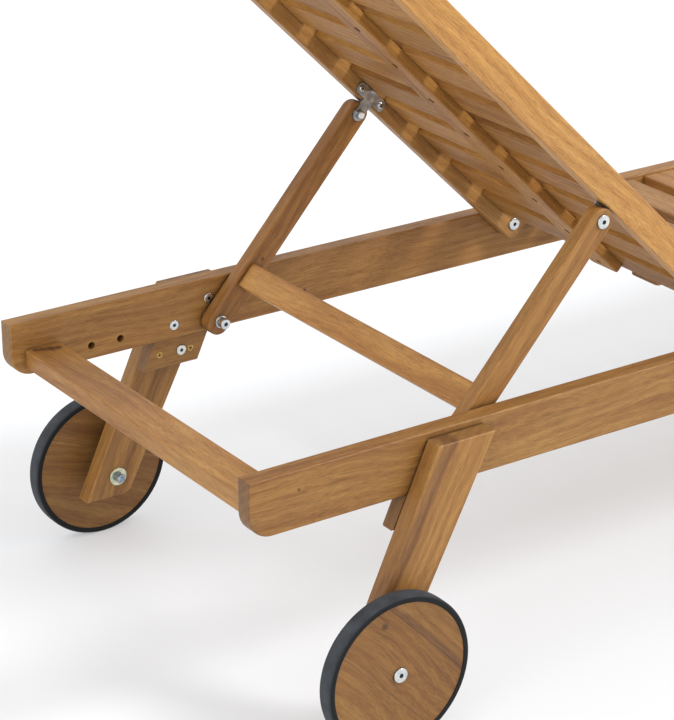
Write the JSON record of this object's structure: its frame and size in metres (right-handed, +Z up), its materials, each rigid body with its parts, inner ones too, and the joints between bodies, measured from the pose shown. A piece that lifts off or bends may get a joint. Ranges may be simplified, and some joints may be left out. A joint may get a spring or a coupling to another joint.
{
  "type": "sun lounger",
  "caption": "Reclining slatted hardwood sun lounger with a propped backrest, slanted legs and wheels at the head end.",
  "frame": {"origin": "on the floor under the middle of the frame, half way between the rails and half way along them", "axes": "+X towards the foot end, +Y to the left of somebody lying on it, +Z up"},
  "size_m": [1.96, 0.7076, 0.8917],
  "materials": {
    "hardwood": "oiled",
    "wheel_wood": "oiled",
    "zinc": "satin zinc plate",
    "brass": "satin",
    "tyre_rubber": "matte"
  },
  "bodies": {
    "frame": {"axle_bolts": "zinc", "axle_nuts": "zinc", "axle_spacers": "zinc", "backrest_pivot_bolts": "zinc", "cleat_screws": "brass", "crossbar_foot": "hardwood", "crossbar_head": "hardwood", "foot_leg_left": "hardwood", "foot_leg_right": "hardwood", "frame_washers": "zinc", "leg_bolts": "zinc", "leg_cleats": "hardwood", "rail_left": "hardwood", "rail_right": "hardwood", "seat_batten": "hardwood", "seat_batten_screws": "zinc", "seat_slat_01": "hardwood", "seat_slat_02": "hardwood", "seat_slat_03": "hardwood", "seat_slat_04": "hardwood", "seat_slat_05": "hardwood", "seat_slat_06": "hardwood", "seat_slat_07": "hardwood", "seat_slat_08": "hardwood", "seat_slat_09": "hardwood", "seat_slat_10": "hardwood", "seat_slat_11": "hardwood", "seat_slat_12": "hardwood", "seat_slat_13": "hardwood", "seat_slat_14": "hardwood", "seat_slat_15": "hardwood", "wheel_leg_left": "hardwood", "wheel_leg_right": "hardwood"},
    "backrest": {"backrest_batten": "hardwood", "backrest_screws": "zinc", "backrest_slat_01": "hardwood", "backrest_slat_02": "hardwood", "backrest_slat_03": "hardwood", "backrest_slat_04": "hardwood", "backrest_slat_05": "hardwood", "backrest_slat_06": "hardwood", "backrest_slat_07": "hardwood", "backrest_slat_08": "hardwood", "backrest_slat_09": "hardwood", "backrest_slat_10": "hardwood", "backrest_stile_left": "hardwood", "backrest_stile_right": "hardwood", "prop_brackets": "zinc", "prop_pivot_bolts": "zinc", "prop_pivot_nuts": "zinc"},
    "prop": {"peg_bolts": "zinc", "peg_nuts": "zinc", "peg_washers": "zinc", "prop_arm_left": "hardwood", "prop_arm_right": "hardwood", "prop_bar": "hardwood"},
    "wheel_left": {"tyre_left": "tyre_rubber", "wheel_disc_left": "wheel_wood"},
    "wheel_right": {"tyre_right": "tyre_rubber", "wheel_disc_right": "wheel_wood"}
  },
  "joints": [
    {"name": "backrest_recline", "type": "hinge", "parent": "frame", "child": "backrest", "pos_m": [-0.204, 0, 0.34], "axis": [0, -1, 0], "range_deg": [0, 44.2]},
    {"name": "prop_swing", "type": "hinge", "parent": "backrest", "child": "prop", "pos_m": [-0.46855, 0, 0.54704], "axis": [0, 1, 0], "range_deg": [0, 92.64]},
    {"name": "wheel_left_roll", "type": "hinge", "parent": "frame", "child": "wheel_left", "pos_m": [-0.82, 0.341, 0.098], "axis": [0, 1, 0], "continuous": true},
    {"name": "wheel_right_roll", "type": "hinge", "parent": "frame", "child": "wheel_right", "pos_m": [-0.82, -0.341, 0.098], "axis": [0, 1, 0], "continuous": true}
  ],
  "couplings": [
    {"joint": "prop_swing", "follows": "backrest_recline", "ratio": 2.0936}
  ]
}
